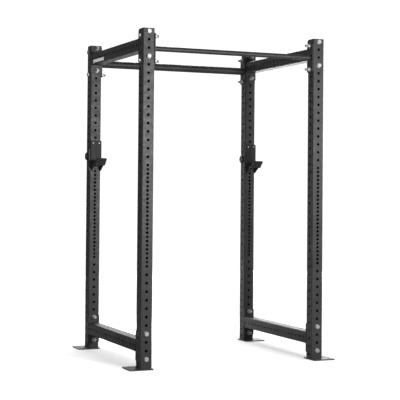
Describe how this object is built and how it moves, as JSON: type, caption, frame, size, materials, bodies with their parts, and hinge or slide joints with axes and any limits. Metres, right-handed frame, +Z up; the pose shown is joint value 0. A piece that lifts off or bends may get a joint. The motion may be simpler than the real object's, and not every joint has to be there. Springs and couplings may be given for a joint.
{
  "type": "power cage",
  "caption": "Free-standing power cage of drilled square tube with side crossmembers, a thin and a fat pull-up bar, bolted end flanges, foot plates and pull-off J-cups.",
  "frame": {"origin": "on the floor, in the middle of the footprint", "axes": "+X to the right and +Y from the front (thin pull-up bar) to the rear (fat pull-up bar and J-cups), +Z up"},
  "size_m": [1.397, 1.162, 2.06],
  "materials": {
    "powder_coat": "fine-textured satin black powder coat",
    "zinc_hardware": "bright zinc plating",
    "cap_plastic": "matte moulded black",
    "liner_plastic": "matte black machined plastic",
    "pin_steel": "black oxide",
    "badge_metal": "brushed, blank"
  },
  "bodies": {
    "frame": {"badge": "badge_metal", "badge_rivets": "badge_metal", "front_left_cap": "cap_plastic", "front_left_foot": "powder_coat", "front_left_upright": "powder_coat", "front_pullup_bar": "powder_coat", "front_pullup_flanges": "powder_coat", "front_right_cap": "cap_plastic", "front_right_foot": "powder_coat", "front_right_upright": "powder_coat", "lower_bolts": "zinc_hardware", "lower_left_crossmember": "powder_coat", "lower_left_flanges": "powder_coat", "lower_nuts": "zinc_hardware", "lower_right_crossmember": "powder_coat", "lower_right_flanges": "powder_coat", "lower_washers": "zinc_hardware", "pullup_bolts": "zinc_hardware", "pullup_nuts": "zinc_hardware", "pullup_washers": "zinc_hardware", "rear_left_cap": "cap_plastic", "rear_left_foot": "powder_coat", "rear_left_upright": "powder_coat", "rear_pullup_bar": "powder_coat", "rear_pullup_flanges": "powder_coat", "rear_right_cap": "cap_plastic", "rear_right_foot": "powder_coat", "rear_right_upright": "powder_coat", "upper_bolts": "zinc_hardware", "upper_left_crossmember": "powder_coat", "upper_left_flanges": "powder_coat", "upper_nuts": "zinc_hardware", "upper_right_crossmember": "powder_coat", "upper_right_flanges": "powder_coat", "upper_washers": "zinc_hardware"},
    "left_cup": {"left_cup_back_pad": "liner_plastic", "left_cup_bracket": "powder_coat", "left_cup_lip_pad": "liner_plastic", "left_cup_pad_screws": "zinc_hardware", "left_cup_pin": "pin_steel", "left_cup_rear_liner": "liner_plastic", "left_cup_shelf_pad": "liner_plastic", "left_cup_shelf_screws": "pin_steel", "left_cup_side_liner": "liner_plastic"},
    "right_cup": {"right_cup_back_pad": "liner_plastic", "right_cup_bracket": "powder_coat", "right_cup_lip_pad": "liner_plastic", "right_cup_pad_screws": "zinc_hardware", "right_cup_pin": "pin_steel", "right_cup_rear_liner": "liner_plastic", "right_cup_shelf_pad": "liner_plastic", "right_cup_shelf_screws": "pin_steel", "right_cup_side_liner": "liner_plastic"}
  },
  "joints": [
    {"name": "left_cup_pull_off", "type": "slide", "parent": "frame", "child": "left_cup", "axis": [-1, 0, 0], "range_m": [0, 0.12]},
    {"name": "right_cup_pull_off", "type": "slide", "parent": "frame", "child": "right_cup", "axis": [-1, 0, 0], "range_m": [0, 0.12]}
  ]
}
